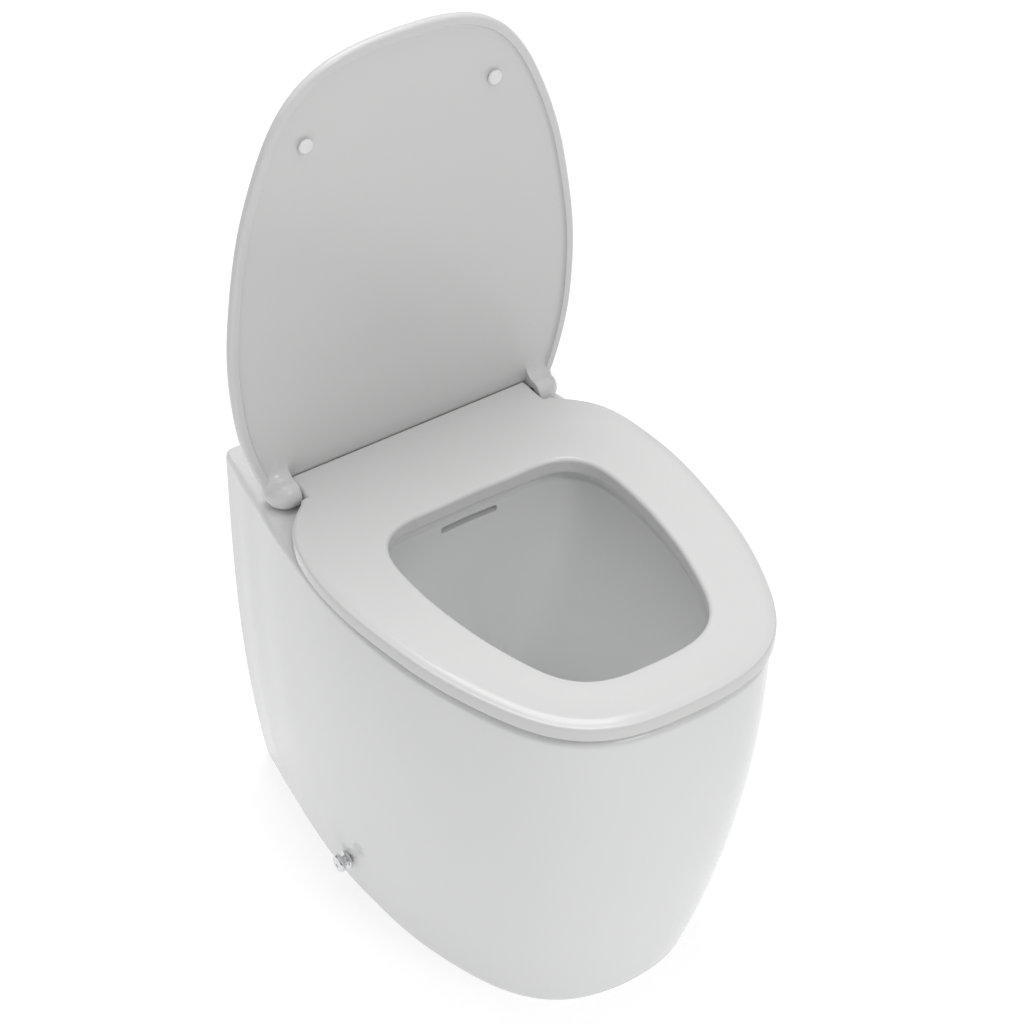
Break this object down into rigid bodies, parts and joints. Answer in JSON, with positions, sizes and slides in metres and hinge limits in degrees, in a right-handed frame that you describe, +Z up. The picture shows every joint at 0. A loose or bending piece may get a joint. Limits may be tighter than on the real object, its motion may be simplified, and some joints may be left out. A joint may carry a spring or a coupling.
{
  "type": "floor-standing toilet pan with seat and cover",
  "caption": "Back-to-wall floor-standing toilet pan with a slim soft-close seat ring and a cover that both swing up on one rear hinge line.",
  "frame": {"origin": "on the floor, under the middle of the overall box", "axes": "+X to the right as seen from the front, -Y out of the front, +Y to the wall, +Z up"},
  "size_m": [0.3716, 0.5454, 0.8544],
  "materials": {
    "vitreous_china": "white glaze, glossy",
    "duroplast": "white, glossy, rounded edges",
    "buffer_plastic": "soft white, satin",
    "stainless_steel": "plain turned and pressed stainless steel",
    "chrome_cap": "polished chrome",
    "grey_plastic": "moulded grey plastic",
    "white_plastic": "moulded white plastic",
    "black_rubber": "moulded black rubber"
  },
  "bodies": {
    "pan": {"floor_bracket_left": "grey_plastic", "floor_bracket_right": "grey_plastic", "floor_screw_left": "stainless_steel", "floor_screw_right": "stainless_steel", "flush_inlet_seal": "black_rubber", "hinge_pin_left": "stainless_steel", "hinge_pin_right": "stainless_steel", "hinge_post_left": "stainless_steel", "hinge_post_right": "stainless_steel", "hinge_stud_bush_left": "black_rubber", "hinge_stud_bush_right": "black_rubber", "hinge_stud_left": "stainless_steel", "hinge_stud_right": "stainless_steel", "hinge_washer_left": "grey_plastic", "hinge_washer_right": "grey_plastic", "hinge_wing_nut_left": "white_plastic", "hinge_wing_nut_right": "white_plastic", "outlet_collar": "black_rubber", "pan": "vitreous_china", "side_cap_left": "chrome_cap", "side_cap_right": "chrome_cap", "side_screw_left": "stainless_steel", "side_screw_right": "stainless_steel", "side_sleeve_left": "white_plastic", "side_sleeve_right": "white_plastic"},
    "seat": {"seat": "duroplast", "seat_buffer_front_left": "buffer_plastic", "seat_buffer_front_right": "buffer_plastic", "seat_buffer_side_left": "buffer_plastic", "seat_buffer_side_right": "buffer_plastic", "soft_close_damper_left": "grey_plastic", "soft_close_damper_right": "grey_plastic"},
    "lid": {"lid": "duroplast", "lid_buffer_left": "buffer_plastic", "lid_buffer_right": "buffer_plastic", "lid_hinge_bush_left": "grey_plastic", "lid_hinge_bush_right": "grey_plastic"}
  },
  "joints": [
    {"name": "lid_hinge", "type": "hinge", "parent": "pan", "child": "lid", "pos_m": [0, 0.16675, 0.415], "axis": [-1, 0, 0], "range_deg": [-90.5, 0]},
    {"name": "seat_hinge", "type": "hinge", "parent": "pan", "child": "seat", "pos_m": [0, 0.16675, 0.415], "axis": [-1, 0, 0], "range_deg": [0, 90]}
  ]
}
